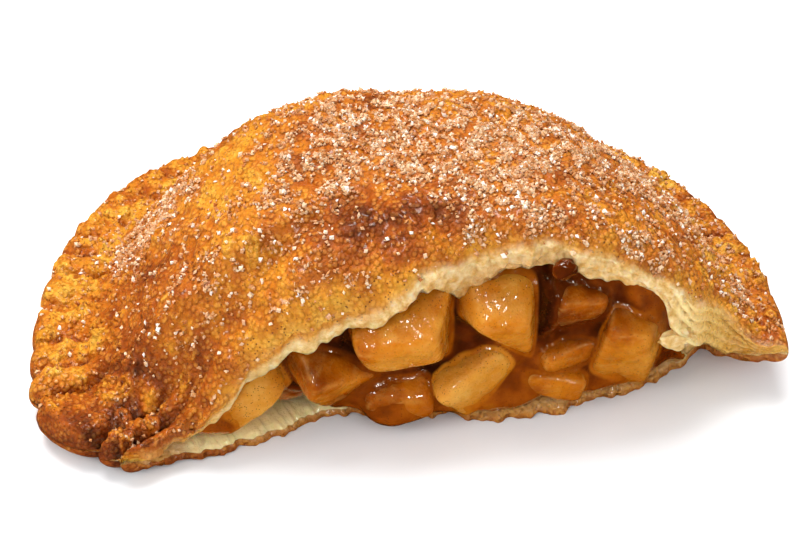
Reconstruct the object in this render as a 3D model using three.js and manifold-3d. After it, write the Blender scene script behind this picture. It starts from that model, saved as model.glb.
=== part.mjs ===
// A baked half-moon turnover pastry, broken open along its front: a hollow dough shell with a
// crimped rim, the fruit-and-sauce filling that runs through it, and the fruit chunks at the break.
//
// Units are millimetres. While the shapes are worked out, the origin is the centre of the rim's
// arc on the table, +X runs to the right along the break, +Y to the back and +Z up. Angles are in
// degrees round that origin, counted from +X. At the end everything moves so that the middle of
// the shell's bottom is the origin.

import * as THREE from "three";
import Module from "manifold-3d";

// ---------------------------------------------------------------- driving dimensions

const RIM_THICKNESS = 6.2;
const RIM_WIDTH = 8.5;            // flat part of the rim, before the dome rises, at the left
const RIM_NARROWER = 4;           // it is this much narrower at the right
const DOME_RISE = 36.8;           // dome above the rim
const DOME_FLANK = 32;            // plan width of the rising flank at the back
const FLANK_EXTRA_LEFT = 20;      // the flank is wider, so gentler, towards the two ends
const FLANK_EXTRA_RIGHT = 10;
const FLANK_POWER = 2.3;
const FLANK_TOE = 0.1;            // share of the flank over which it leaves the rim softly
const HIDDEN_FRONT_RADIUS = 46;   // where the missing front fold would be

const LIFT_LEFT = 1.0;            // height of the rim's underside above the table
const LIFT_BACK = 3.0;
const LIFT_RIGHT = 6.5;
const LIFT_REACH = 24;            // the underside is flat on the table this far in from the rim

const ROOF_THICKNESS = 2.7;
const ROOF_THICKER = 3.2;         // it is this much thicker where the layers part at the right
const FLOOR_THICKNESS = 2.6;
const SEAM_DEPTH = 12;            // the two dough sheets are sealed this far in from the outline
const SEAM_DEEPER = 8;            // and this much further in at the right
const SEAM_OPENS = 6;             // the hollow opens up over this depth
const GROOVE = 0.8;               // parting of the layers in the broken rim

const LEFT_CORNER = 203.5;        // the rim runs between these two angles
const RIGHT_TIP = -20.5;

const FLOOR_STEPS = [0.5, 0.86];             // places of the inside points, from the torn
const ROOF_STEPS = [0.3, 0.55, 0.75, 0.9];   // edge at 0 back to the seam at 1

const CRIMPS = 35;
const CRIMP_REACH = 19;           // the pressed lobes fade into the dome here
const FINGER_FROM = 188;          // the thick finger at the left front, in degrees
const FINGER_SPAN = 10.7;
const CLEARANCE = 0.35;           // between neighbouring solids

// Across the break the skin's torn edge and the bottom sheet's torn edge, as [x, y].
const LIP = [
  [-50.1, -24.4], [-46, -22.6], [-43.7, -21.8], [-42.2, -21.5], [-40.8, -22.3], [-37, -22.2],
  [-33.1, -21.6], [-29.2, -20.4], [-25, -20.3], [-19.6, -20.9], [-14.3, -21], [-3.3, -21.1],
  [8.2, -18.5], [18.3, -20.1], [29.4, -22.4], [36.2, -23.6], [45.4, -24.3], [49.5, -23.9],
  [55.4, -20.8], [59, -22.2], [62.4, -24.2],
];
const BASE = [
  [-50.2, -22.8], [-43.2, -22.6], [-38.6, -21.6], [-33.9, -20.7], [-29.2, -19.9],
  [-24.3, -18.2], [-18.4, -16.2], [-12.7, -16], [-5, -19], [1.8, -18.6], [10.4, -22],
  [17.8, -22.8], [25.4, -22.6], [33.5, -20.9], [41.7, -19.6], [46, -18.8], [49.7, -17.6],
  [52.2, -15.9], [54.3, -15.2], [56.6, -17], [60.1, -20.6], [63.6, -22.8],
];

// ---------------------------------------------------------------- small helpers

const radians = THREE.MathUtils.degToRad;
const mix = THREE.MathUtils.lerp;
const clamp01 = (a) => Math.min(1, Math.max(0, a));
const swell = (a) => Math.exp(-a * a);

function smooth(a) {
  const c = clamp01(a);
  return c * c * (3 - 2 * c);
}

// Sum of three sines: an uneven wave between about -1 and 1.
function wander(a, pace, phase) {
  return 0.5 * Math.sin(a * pace + phase) + 0.3 * Math.sin(a * pace * 2.3 + 1.7 * phase)
    + 0.2 * Math.sin(a * pace * 4.1 + 2.9 * phase);
}

// ---------------------------------------------------------------- outline and crimps

function rimRadius(angle) {
  const a = radians(angle);
  const arc = 66.5 - 0.8 * Math.cos(a) - 6.25 * Math.sin(a)
    + 2.8 * Math.cos(2 * a) - 2.9 * Math.sin(2 * a);
  const swellings = 4.5 * swell((angle - 42.5) / 25) - 0.5 * swell((angle + 8.4) / 13.6)
    + 2.8 * swell((angle - 132.7) / 20) - 0.5 * swell((angle - 171) / 12);
  return arc + swellings - 8.8 * smooth((angle - 188) / 16);
}

// Angle between -90 and 270, so that the rim has no jump in it.
function angleAt(x, y) {
  const a = THREE.MathUtils.radToDeg(Math.atan2(y, x));
  return a < -90 ? a + 360 : a;
}

// Crimp number along the rim, a whole number at each crease, with uneven widths. The last but
// one lobe, a thick finger, is as wide as two, and the notch before it lies a little early.
function crimpAt(angle) {
  const early = angle + 1.8 * swell((angle - 187) / 5);
  const along = (early - RIGHT_TIP) / (LEFT_CORNER - RIGHT_TIP);
  const even = along + 0.006 * Math.sin(along * 31 + 1) + 0.004 * Math.sin(along * 57)
    - 0.03 * smooth((along - 0.78) / 0.2) * (1 - along) / 0.2;
  return (CRIMPS + 1) * even - smooth((early - FINGER_FROM) / FINGER_SPAN);
}

// A crimp is a rounded lobe between two sharp creases: 0 in the crease, 1 on the crown.
function lobe(crimp) {
  const across = 2 * (crimp - Math.floor(crimp)) - 1;
  return 1 - Math.abs(across) ** 2.4;
}

// The lobes are shallow at the right, and deepest at the left front, as thick as fingers.
function crimpHeight(angle) {
  return 0.7 + 0.8 * smooth((angle - 60) / 50) + 1.8 * smooth((angle - 178) / 10)
    + 0.3 * wander(angle, 0.16, 2);
}

// 0 round the rim, 1 where the missing front fold would be.
function frontShare(angle) {
  return smooth((Math.abs(angle - 90) - 112) / 50);
}

function fullRadius(angle) {
  return mix(rimRadius(angle), HIDDEN_FRONT_RADIUS, frontShare(angle));
}

// The fingers at the left front reach out further between deeper notches.
function scallop(angle) {
  const reach = 0.55 + 0.5 * smooth((angle - 178) / 10);
  return reach * crimpHeight(angle) * (lobe(crimpAt(angle)) - 0.6);
}

function outline(angle) {
  const r = fullRadius(angle) + scallop(angle);
  return new THREE.Vector2(r * Math.cos(radians(angle)), r * Math.sin(radians(angle)));
}

// ---------------------------------------------------------------- heights over the plan

function depthAt(x, y) {
  return fullRadius(angleAt(x, y)) - Math.hypot(x, y);
}

function lift(angle) {
  const rim = LIFT_LEFT + (LIFT_BACK - LIFT_LEFT) * smooth((200 - angle) / 90)
    + (LIFT_RIGHT - LIFT_BACK) * smooth((75 - angle) / 80);
  return mix(rim, LIFT_LEFT, frontShare(angle));
}

// How far the rounded rim edge has fallen away at a depth from the outline.
function rounding(depth) {
  const half = RIM_THICKNESS / 2;
  const s = clamp01(depth / half);
  return half * (1 - Math.sqrt(Math.max(0, 1 - (1 - s) ** 2)));
}

function rimWidth(angle) {
  return RIM_WIDTH - RIM_NARROWER * smooth((130 - angle) / 90) * (1 - frontShare(angle));
}

function flankAt(angle) {
  const c = Math.cos(radians(angle));
  return DOME_FLANK + (c < 0 ? FLANK_EXTRA_LEFT : FLANK_EXTRA_RIGHT) * c * c
    + RIM_WIDTH - rimWidth(angle);
}

// Height of the dome and its slope, before crimps and dents.
function domeAt(depth, angle) {
  const flank = flankAt(angle);
  const s = clamp01((depth - rimWidth(angle)) / flank);
  const started = 1 - Math.exp(-s / FLANK_TOE);
  const whole = 1 - FLANK_TOE * (1 - Math.exp(-1 / FLANK_TOE));
  const left = 1 - (s - FLANK_TOE * started) / whole;
  return {
    height: DOME_RISE * (1 - left ** FLANK_POWER),
    slope: DOME_RISE * FLANK_POWER / flank * left ** (FLANK_POWER - 1) * started / whole,
  };
}

function dents(x, y, depth) {
  return (0.9 * wander(x, 0.11, 1) * wander(y, 0.13, 2) + 0.5 * wander(x + 0.6 * y, 0.29, 4))
    * smooth((depth - 8) / 14);
}

function edgeDepth(x, y) {
  const angle = angleAt(x, y);
  return fullRadius(angle) + scallop(angle) - Math.hypot(x, y);
}

function topAt(x, y) {
  const angle = angleAt(x, y);
  const depth = depthAt(x, y);
  const crimp = crimpHeight(angle) * (lobe(crimpAt(angle)) - 0.6)
    * smooth(edgeDepth(x, y) / 2.4) * (1 - smooth((depth - 9) / (CRIMP_REACH - 9)));
  return lift(angle) * (1 - smooth(depth / 34)) + RIM_THICKNESS - rounding(edgeDepth(x, y))
    + domeAt(depth, angle).height + crimp + dents(x, y, depth);
}

function underAt(x, y) {
  const angle = angleAt(x, y);
  return lift(angle) * (1 - smooth(depthAt(x, y) / LIFT_REACH)) + rounding(edgeDepth(x, y));
}

function floorAt(x, y) {
  const body = topAt(x, y) - underAt(x, y);
  return underAt(x, y) + Math.min(FLOOR_THICKNESS, 0.45 * body);
}

function seamDepth(angle) {
  return SEAM_DEPTH + SEAM_DEEPER * smooth((20 - angle) / 30);
}

function roofThickness(x) {
  return ROOF_THICKNESS + ROOF_THICKER * smooth((x - 38) / 10);
}

// How far a place lies out over the bottom sheet's torn edge, 0 at that edge and 1 at the lip.
function overEdge(x, y) {
  return clamp01((baseLine(x) - y) / Math.max(1, baseLine(x) - lipLine(x)));
}

// Underside of the dome: the roof's thickness is measured square to its slope. Towards the seam
// it comes down to the floor, but for the groove between the two sheets. Where the lip hangs out
// over the bottom sheet it has its own thickness, so that the broken edge slants back below it.
function roofAt(x, y) {
  const angle = angleAt(x, y);
  const depth = depthAt(x, y);
  const { height, slope } = domeAt(depth, angle);
  const skin = lift(angle) * (1 - smooth(depth / 34)) + RIM_THICKNESS + height
    + dents(x, y, depth);
  const roof = skin - roofThickness(x) * Math.hypot(1, slope);
  const floor = floorAt(x, y);
  const pressed = floor + Math.min(GROOVE, 0.2 * (topAt(x, y) - underAt(x, y)));
  const open = smooth((depth - seamDepth(angle)) / SEAM_OPENS + 0.5);
  return Math.max(mix(pressed, roof, Math.max(open, overEdge(x, y))), pressed);
}

// ---------------------------------------------------------------- stations along the pastry

// Angle whose crimp number is given, by halving.
function angleOfCrimp(crimp) {
  let low = RIGHT_TIP;
  let high = LEFT_CORNER;
  for (let i = 0; i < 30; i += 1) {
    const middle = (low + high) / 2;
    if (crimpAt(middle) < crimp) low = middle;
    else high = middle;
  }
  return (low + high) / 2;
}

// Height of a smooth line through [x, y] points at x.
function lineThrough(points) {
  const curve = new THREE.CatmullRomCurve3(
    points.map(([x, y]) => new THREE.Vector3(x, y, 0)), false, "centripetal");
  const drawn = curve.getPoints(points.length * 12);
  return (x) => {
    const next = drawn.findIndex((p) => p.x >= x);
    if (next <= 0) return next === 0 ? drawn[0].y : drawn.at(-1).y;
    const [a, b] = [drawn[next - 1], drawn[next]];
    return mix(a.y, b.y, (x - a.x) / (b.x - a.x));
  };
}

const leftCorner = outline(LEFT_CORNER);
const rightTip = outline(RIGHT_TIP);
const withEnds = (points) => [leftCorner.toArray(), ...points, rightTip.toArray()];
const lipLine = lineThrough(withEnds(LIP));
const baseLine = lineThrough(withEnds(BASE));

// The tear is ragged, except where it runs out at the two ends.
function torn(edge, u, rough, phase) {
  const ends = smooth(Math.min(u, 1 - u) / 0.05);
  return new THREE.Vector2(edge.x, edge.y + rough * ends * wander(edge.x, 0.8, phase));
}

// Plan path that leaves the rim square to it, along the crimps, and bends to the tear.
function pathFromRim(rim, end) {
  const inward = rim.clone().setLength(rim.length() - 0.45 * rim.distanceTo(end));
  return new THREE.QuadraticBezierCurve(rim, inward, end);
}

// Plan positions of one station, u = 0 at the left corner and 1 at the right tip.
function station(u) {
  const x = mix(leftCorner.x, rightTip.x, u);
  const rim = outline(angleOfCrimp(CRIMPS * (1 - u)));
  const lip = new THREE.Vector2(x, lipLine(x));
  const base = new THREE.Vector2(x, baseLine(x));
  const nearest = Math.min(rim.distanceTo(lip), rim.distanceTo(base));
  const path = pathFromRim(rim, lip.clone().lerp(base, 0.5));
  const length = path.getLength();
  const shallow = Math.min(1.2, nearest / 3) + Math.abs(lip.y - base.y) / 2;
  let reach = Math.max(0.4 * length, length - shallow);
  for (let s = 0.5; s < reach; s += 0.5) {
    const p = path.getPointAt(s / length);
    if (depthAt(p.x, p.y) > seamDepth(angleAt(p.x, p.y))) {
      reach = s;
      break;
    }
  }
  return {
    rim, lip, base,
    seam: path.getPointAt(reach / length),
    tornLip: torn(lip, u, 1.0, 1),
    tornBase: torn(base, u, 0.8, 5),
  };
}

const lifted = (p, heightAt) => new THREE.Vector3(p.x, p.y, heightAt(p.x, p.y));

// Plan points from the rim inwards: close together over the crimps, wider over the dome.
function inwards(rim, end, nearSteps, farCount) {
  const path = pathFromRim(rim, end);
  const length = path.getLength();
  const scale = Math.min(1, length / 26);
  const near = nearSteps.map((s) => s * scale);
  const last = near.at(-1);
  const far = Array.from({ length: farCount }, (_, i) => mix(last, length, (i + 1) / farCount));
  return [...near, ...far].map((s) => path.getPointAt(s / length));
}

// Inside of the shell at one station, from the torn edges back to the seam.
function cavity({ lip, base, seam, tornLip, tornBase }) {
  const firstRoof = tornLip.clone().lerp(seam, Math.min(0.2, 1 / tornLip.distanceTo(seam)));
  const firstFloor = tornBase.clone().lerp(seam, Math.min(0.2, 0.7 / tornBase.distanceTo(seam)));
  const row = (first, edge, steps, heightAt) => [
    first, ...steps.map((t) => edge.clone().lerp(seam, t))].map((p) => lifted(p, heightAt));
  return {
    floor: row(firstFloor, base, FLOOR_STEPS, floorAt),
    roof: row(firstRoof, lip, ROOF_STEPS, roofAt),
    sealed: lifted(seam, (x, y) => (floorAt(x, y) + roofAt(x, y)) / 2),
  };
}

// Closed ring through the shell at one station: skin from the lip to the rim, underside back to
// the torn bottom edge, then the inside surfaces round the seam.
function shellSection(u) {
  const plan = station(u);
  const { rim, lip, base, tornLip, tornBase } = plan;
  const skin = inwards(rim, lip, [0.35, 1.4, 3.2, 5.4, 7.8, 10.4, 13.4, 17], 7).reverse();
  const under = inwards(rim, base, [0.5, 2, 5], 3);
  const edge = lifted(rim, (x, y) => (topAt(x, y) + underAt(x, y)) / 2);
  skin[0] = tornLip;
  under[under.length - 1] = tornBase;
  const tornMiddle = lifted(tornBase, (x, y) => mix(underAt(x, y), floorAt(x, y), 0.6));
  const { floor, roof, sealed } = cavity(plan);
  return [
    ...skin.map((p) => lifted(p, topAt)),
    edge,
    ...under.map((p) => lifted(p, underAt)),
    tornMiddle,
    ...floor,
    sealed,
    ...roof.reverse(),
  ];
}

// ---------------------------------------------------------------- skin over a row of rings

// Closed surface over a row of equal rings, shut by one point at each end.
function ringsToGeometry(rings, firstPole, lastPole) {
  const size = rings[0].length;
  const points = [...rings.flat(), firstPole, lastPole];
  const first = points.length - 2;
  const last = points.length - 1;
  const index = [];
  for (let r = 0; r + 1 < rings.length; r += 1) {
    for (let i = 0; i < size; i += 1) {
      const j = (i + 1) % size;
      const [a, b] = [r * size + i, r * size + j];
      const [c, d] = [a + size, b + size];
      index.push(a, c, b, b, c, d);
    }
  }
  const end = (rings.length - 1) * size;
  for (let i = 0; i < size; i += 1) {
    const j = (i + 1) % size;
    index.push(first, i, j, last, end + j, end + i);
  }
  const geometry = new THREE.BufferGeometry();
  geometry.setAttribute("position", new THREE.Float32BufferAttribute(
    points.flatMap((p) => p.toArray()), 3));
  geometry.setIndex(index);
  return geometry;
}

const SHELL_STATIONS = CRIMPS * 4;

function shell() {
  const rings = [];
  for (let k = 1; k < SHELL_STATIONS; k += 1) rings.push(shellSection(k / SHELL_STATIONS));
  const pole = (p) => lifted(p, (x, y) => (topAt(x, y) + underAt(x, y)) / 2);
  return ringsToGeometry(rings, pole(leftCorner), pole(rightTip));
}

// ---------------------------------------------------------------- filling

const FILLING_FROM = 18;          // stations of the shell between which the filling runs
const FILLING_TO = 114;
const FILLING_STEP = 2;
const ROUNDED_END = 8;            // the filling's ends are rounded over this many stations
const ROOF_CLEARANCE = 1.3;
const FLOOR_CLEARANCE = 0.55;

// How far the filling's front stands behind the torn edges: v = 0 on the floor, 1 at the roof.
function recess(x, v) {
  return mix(1.6 + 5.1 * swell((x + 31) / 9), 5.0, v) + 2.5 * swell((x - 27) / 9)
    - 1.0 * Math.sin(Math.PI * v) + 0.7 * wander(x + 9 * v, 0.42, 3);
}

// Point of a row of points at a distance from the first.
function alongRow(row, distance) {
  let left = distance;
  for (let i = 0; i + 1 < row.length; i += 1) {
    const step = row[i].distanceTo(row[i + 1]);
    if (left < step || i + 2 === row.length) return row[i].clone().lerp(row[i + 1], left / step);
    left -= step;
  }
  return row[0].clone();
}

// The cavity's own points moved inwards by the clearance, and a bulging front between them.
function fillingSection(u) {
  const plan = station(u);
  const { floor, roof } = cavity(plan);
  floor.forEach((p) => { p.z += FLOOR_CLEARANCE; });
  roof.forEach((p) => { p.z -= ROOF_CLEARANCE; });
  const low = alongRow(floor, Math.min(recess(plan.base.x, 0), 0.8 * floor[0].distanceTo(floor[1])));
  const high = alongRow(roof, Math.min(recess(plan.lip.x, 1), 0.8 * roof[0].distanceTo(roof[1])));
  const inward = plan.rim.clone().sub(plan.lip).normalize();
  const front = [0.2, 0.4, 0.6, 0.8].map((v) => {
    const p = low.clone().lerp(high, v);
    const bulge = mix(recess(plan.base.x, 0), recess(plan.lip.x, 1), v) - recess(plan.lip.x, v);
    return p.sub(new THREE.Vector3(inward.x * bulge, inward.y * bulge, 0));
  });
  return [high, ...roof.slice(1), ...floor.slice(1).reverse(), low, ...front];
}

function filling() {
  const rings = [];
  for (let k = FILLING_FROM; k <= FILLING_TO; k += FILLING_STEP) {
    const ring = fillingSection(k / SHELL_STATIONS);
    const centre = ring.reduce((sum, p) => sum.add(p), new THREE.Vector3())
      .divideScalar(ring.length);
    const fromEnd = Math.min(k - FILLING_FROM, FILLING_TO - k);
    const size = 0.97 * Math.sqrt(clamp01((fromEnd + 1) / ROUNDED_END));
    rings.push(ring.map((p) => centre.clone().lerp(p, fromEnd < ROUNDED_END ? size : 1)));
  }
  const middle = (ring) => ring.reduce((sum, p) => sum.add(p), new THREE.Vector3())
    .divideScalar(ring.length);
  return ringsToGeometry(rings, middle(rings[0]), middle(rings.at(-1)));
}

// ---------------------------------------------------------------- fruit chunks

// Each chunk: centre, half sizes, turns about X, Y and Z in degrees, and how much narrower its
// +X end is than its -X end.
const CHUNKS = [
  { at: [-2.0, -15.7, 20.1], half: [9.6, 8.0, 8.1], turn: [24, -14, -8], taper: 0.06 },
  { at: [14.3, -15.4, 20.6], half: [8.1, 7.4, 8.9], turn: [20, 18, 8], taper: -0.34 },
  { at: [39.3, -16.3, 12.0], half: [6.3, 7.0, 8.5], turn: [14, 14, -14], taper: 0.06 },
  { at: [-17.0, -14.4, 11.6], half: [7.8, 6.4, 6.4], turn: [20, 16, 12], taper: 0.15 },
  { at: [9.4, -18.2, 10.1], half: [7.2, 4.8, 4.2], turn: [6, -42, 6], taper: 0.2 },
  { at: [-4.6, -17.0, 7.4], half: [6.6, 6.2, 4.0], turn: [6, 2, 0], taper: -0.1 },
  { at: [-31.4, -15.4, 9.6], half: [8.0, 4.0, 3.9], turn: [0, -42, 10], taper: -0.22 },
  { at: [29.0, -14.0, 20.8], half: [5.2, 6.4, 6.4], turn: [14, 6, -6], taper: 0.1 },
  { at: [27.2, -16.6, 12.3], half: [6.4, 4.8, 3.1], turn: [8, -8, 8], taper: 0.1 },
  { at: [23.8, -19.0, 6.9], half: [6.2, 4.6, 3.0], turn: [4, 12, -4], taper: -0.1 },
];

// A chunk's hollow in the filling has fewer faces, so it stands further off.
const HOLLOW = { grow: 1.4, around: 9, rows: 6 };

const power = (a, e) => Math.sign(a) * Math.abs(a) ** e;

// A box with well rounded edges: a sphere's directions with their cosines raised to a power.
function chunkGeometry({ at, half, turn, taper }, { grow = 0, around = 12, rows = 7 } = {}) {
  const rounding01 = 0.55;
  const spin = new THREE.Euler(...turn.map(radians));
  const place = (v) => {
    v.y *= 1 - taper * v.x;
    v.z *= 1 - taper * v.x;
    return v.multiply(new THREE.Vector3(...half.map((h) => h + grow)))
      .applyEuler(spin).add(new THREE.Vector3(...at));
  };
  const rings = [];
  for (let r = 1; r < rows; r += 1) {
    const tilt = Math.PI * (r / rows - 0.5);
    rings.push(Array.from({ length: around }, (_, i) => {
      const turnAngle = -2 * Math.PI * (i + 0.5) / around;
      const wide = power(Math.cos(tilt), rounding01);
      return place(new THREE.Vector3(
        power(Math.sin(tilt), rounding01),
        wide * power(Math.cos(turnAngle), rounding01),
        wide * power(Math.sin(turnAngle), rounding01)));
    }));
  }
  return ringsToGeometry(rings, place(new THREE.Vector3(-1, 0, 0)),
    place(new THREE.Vector3(1, 0, 0)));
}

// ---------------------------------------------------------------- cutting with manifold-3d

const wasm = await Module();
wasm.setup();

function toManifold(geometry) {
  const mesh = new wasm.Mesh({
    numProp: 3,
    vertProperties: new Float32Array(geometry.getAttribute("position").array),
    triVerts: new Uint32Array(geometry.getIndex().array),
  });
  mesh.merge();
  return new wasm.Manifold(mesh);
}

// The solid as a geometry, without the scraps that a cut may leave loose beside its main body.
function fromManifold(manifold) {
  const { vertProperties, triVerts, numProp } = manifold.getMesh();
  const corners = [...triVerts];
  const body = Array.from({ length: vertProperties.length / numProp }, (_, i) => i);
  const bodyOf = (i) => {
    while (body[i] !== i) i = body[i];
    return i;
  };
  for (let t = 0; t < corners.length; t += 3) {
    body[bodyOf(corners[t + 1])] = bodyOf(corners[t]);
    body[bodyOf(corners[t + 2])] = bodyOf(corners[t]);
  }
  const sizes = new Map();
  corners.forEach((i) => sizes.set(bodyOf(i), (sizes.get(bodyOf(i)) ?? 0) + 1));
  const [largest] = [...sizes].sort((a, b) => b[1] - a[1])[0];
  const geometry = new THREE.BufferGeometry();
  geometry.setAttribute("position", new THREE.Float32BufferAttribute(vertProperties, numProp));
  geometry.setIndex(corners.filter((i) => bodyOf(i) === largest));
  return geometry;
}

// ---------------------------------------------------------------- the pastry

const crustMaterial = new THREE.MeshStandardMaterial({ color: 0xc47a2c, roughness: 0.62 });
const sauceMaterial = new THREE.MeshStandardMaterial({ color: 0x9c5a14, roughness: 0.22 });
const fruitMaterial = new THREE.MeshStandardMaterial({ color: 0xd9962f, roughness: 0.3 });

const pastry = new THREE.Group();

function addMesh(name, geometry, material) {
  geometry.computeVertexNormals();
  const mesh = new THREE.Mesh(geometry, material);
  mesh.name = name;
  pastry.add(mesh);
  return mesh;
}

const crust = addMesh("crust", shell(), crustMaterial);

let sauce = toManifold(filling());
CHUNKS.forEach((chunk, i) => {
  let solid = toManifold(chunkGeometry(chunk));
  CHUNKS.slice(0, i).forEach((earlier) => {
    solid = solid.subtract(toManifold(chunkGeometry(earlier, { grow: CLEARANCE })));
  });
  sauce = sauce.subtract(toManifold(chunkGeometry(chunk, HOLLOW)));
  addMesh(`fruit_chunk_${i + 1}`, fromManifold(solid), fruitMaterial);
});
addMesh("filling", fromManifold(sauce), sauceMaterial);

// The middle of the shell's bottom becomes the origin.
const box = new THREE.Box3().setFromObject(crust);
const middle = box.getCenter(new THREE.Vector3());
pastry.children.forEach((mesh) => mesh.geometry.translate(-middle.x, -middle.y, -box.min.z));

export default pastry;
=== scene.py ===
"""Looks of a baked half-moon turnover pastry, broken open along its front.

Shapes are worked out in millimetres in the pastry's own plan: the origin is the centre of the
rim's arc on the table, +X runs to the right along the break, +Y to the back and +Z up, and angles
are degrees round that origin. make_mesh() turns them into metres in the model's frame.
"""
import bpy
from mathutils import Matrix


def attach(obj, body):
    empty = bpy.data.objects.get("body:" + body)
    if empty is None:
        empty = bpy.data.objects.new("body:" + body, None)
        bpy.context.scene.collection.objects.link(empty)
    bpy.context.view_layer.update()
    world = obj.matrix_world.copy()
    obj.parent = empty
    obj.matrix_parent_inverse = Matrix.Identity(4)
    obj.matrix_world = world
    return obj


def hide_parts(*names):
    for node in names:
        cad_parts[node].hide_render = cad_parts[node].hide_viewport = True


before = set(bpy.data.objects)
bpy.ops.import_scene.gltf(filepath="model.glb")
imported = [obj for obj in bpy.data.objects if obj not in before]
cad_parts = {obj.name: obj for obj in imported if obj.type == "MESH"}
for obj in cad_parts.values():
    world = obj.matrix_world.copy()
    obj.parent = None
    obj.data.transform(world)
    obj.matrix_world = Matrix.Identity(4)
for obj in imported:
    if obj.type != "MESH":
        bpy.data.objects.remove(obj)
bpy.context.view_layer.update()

from types import SimpleNamespace

import bpy
import numpy as np
from mathutils import Euler, Vector
from numpy import (arange, array, clip, concatenate, cos, hypot, linspace, maximum, minimum, pi,
                   radians, sin, stack, where)

# -------- sizes, as in the solids, mm

MIDDLE = (0.79464, -16.65611, 0)        # from the plan's origin to the middle of the shell
RIM_THICKNESS = 6.2
RIM_WIDTH = 8.5
RIM_NARROWER = 4
DOME_RISE = 36.8
DOME_FLANK = 32
FLANK_EXTRA_LEFT = 20
FLANK_EXTRA_RIGHT = 10
FLANK_POWER = 2.3
FLANK_TOE = 0.1
HIDDEN_FRONT_RADIUS = 46
LIFT_LEFT = 1
LIFT_BACK = 3
LIFT_RIGHT = 6.5
LIFT_REACH = 24
ROOF_THICKNESS = 2.7
ROOF_THICKER = 3.2
FLOOR_THICKNESS = 2.6
SEAM_DEPTH = 12
SEAM_DEEPER = 8
SEAM_OPENS = 6
GROOVE = 0.8
LEFT_CORNER = 203.5
RIGHT_TIP = -20.5
CRIMPS = 35
CRIMP_REACH = 19
FINGER_FROM = 188
FINGER_SPAN = 10.7
FILLING_FROM = 18 / 140
FILLING_TO = 120 / 140       # thin sauce runs a little further than the filling's solid
SHEET_ROWS = 620             # along the length of the upper and the lower sheet
SHEET_SHARES = (arange(SHEET_ROWS) + 0.5) / SHEET_ROWS

LIP = [
    (-50.1, -24.4), (-46, -22.6), (-43.7, -21.8), (-42.2, -21.5), (-40.8, -22.3), (-37, -22.2),
    (-33.1, -21.6), (-29.2, -20.4), (-25, -20.3), (-19.6, -20.9), (-14.3, -21), (-3.3, -21.1),
    (8.2, -18.5), (18.3, -20.1), (29.4, -22.4), (36.2, -23.6), (45.4, -24.3), (49.5, -23.9),
    (55.4, -20.8), (59, -22.2), (62.4, -24.2)]
BASE = [
    (-50.2, -22.8), (-43.2, -22.6), (-38.6, -21.6), (-33.9, -20.7), (-29.2, -19.9),
    (-24.3, -18.2), (-18.4, -16.2), (-12.7, -16), (-5, -19), (1.8, -18.6), (10.4, -22),
    (17.8, -22.8), (25.4, -22.6), (33.5, -20.9), (41.7, -19.6), (46, -18.8), (49.7, -17.6),
    (52.2, -15.9), (54.3, -15.2), (56.6, -17), (60.1, -20.6), (63.6, -22.8)]

# -------- small helpers


def mix(a, b, t):
    """Share t of the way from a to b."""
    return a + (b - a) * t


def smooth(a):
    """Soft step from 0 to 1."""
    a = clip(a, 0, 1)
    return a * a * (3 - 2 * a)


def swell(a):
    """Bell curve, 1 in the middle."""
    return np.exp(-a * a)


def norm(a):
    """Lengths of vectors that lie along the last axis."""
    return np.linalg.norm(a, axis=-1)


def xy(points):
    """The x and the y of points."""
    return points[..., 0], points[..., 1]


def wander(a, pace, phase):
    """Sum of three sines: an uneven wave between about -1 and 1."""
    return (0.5 * sin(a * pace + phase) + 0.3 * sin(a * pace * 2.3 + 1.7 * phase)
            + 0.2 * sin(a * pace * 4.1 + 2.9 * phase))


def uneven(points, size, seed, waves=16):
    """Lumps about one size across: cosine waves summed, each with its own way, pace and phase."""
    draw = np.random.default_rng(seed)
    way = draw.normal(size=(waves, 3))
    way *= (2 * pi / size * draw.uniform(0.6, 1.3, waves) / norm(way))[:, None]
    phase = draw.uniform(0, 2 * pi, waves)
    total = sum(cos(points @ way[k] + phase[k]) for k in range(waves))
    return total * np.sqrt(2 / waves) * 0.6


def lumps(points, *kinds):
    """Uneven lumps of several kinds summed: the height, size and seed of each."""
    return sum(height * uneven(points, size, seed) for height, size, seed in kinds)


def on_line(x):
    """Points on the X axis."""
    return stack([x, 0 * x, 0 * x], -1)


def patches(x, y, places):
    """Sum of soft round patches."""
    return sum(s * swell((x - a) / w) * swell((y - b) / h) for a, b, w, h, s in places)


# -------- outline and heights


def rim_radius(angle):
    """Rim from above: cosine and sine terms, four swellings and a drawn-in left corner."""
    a = radians(angle)
    arc = 66.5 - 0.8 * cos(a) - 6.25 * sin(a) + 2.8 * cos(2 * a) - 2.9 * sin(2 * a)
    swellings = (4.5 * swell((angle - 42.5) / 25) - 0.5 * swell((angle + 8.4) / 13.6)
                 + 2.8 * swell((angle - 132.7) / 20) - 0.5 * swell((angle - 171) / 12))
    return arc + swellings - 8.8 * smooth((angle - 188) / 16)


def angle_at(x, y):
    """Degrees round the origin, from -90 to 270."""
    a = np.degrees(np.arctan2(y, x))
    return where(a < -90, a + 360, a)


def crimp_at(angle):
    """Crimps counted up to an angle: nearly even steps, and one wide step for the finger."""
    early = angle + 1.8 * swell((angle - 187) / 5)
    along = (early - RIGHT_TIP) / (LEFT_CORNER - RIGHT_TIP)
    even = (along + 0.006 * sin(along * 31 + 1) + 0.004 * sin(along * 57)
            - 0.03 * smooth((along - 0.78) / 0.2) * (1 - along) / 0.2)
    return (CRIMPS + 1) * even - smooth((early - FINGER_FROM) / FINGER_SPAN)


def lobe(crimp):
    """0 in the crease between two crimps, 1 on the crown."""
    return 1 - abs(2 * (crimp - np.floor(crimp)) - 1) ** 2.4


def crimp_height(angle):
    """Height of the crimps: soft steps up to the back and the left corner, and a wave."""
    return (0.7 + 0.8 * smooth((angle - 60) / 50) + 1.8 * smooth((angle - 178) / 10)
            + 0.3 * wander(angle, 0.16, 2))


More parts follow.
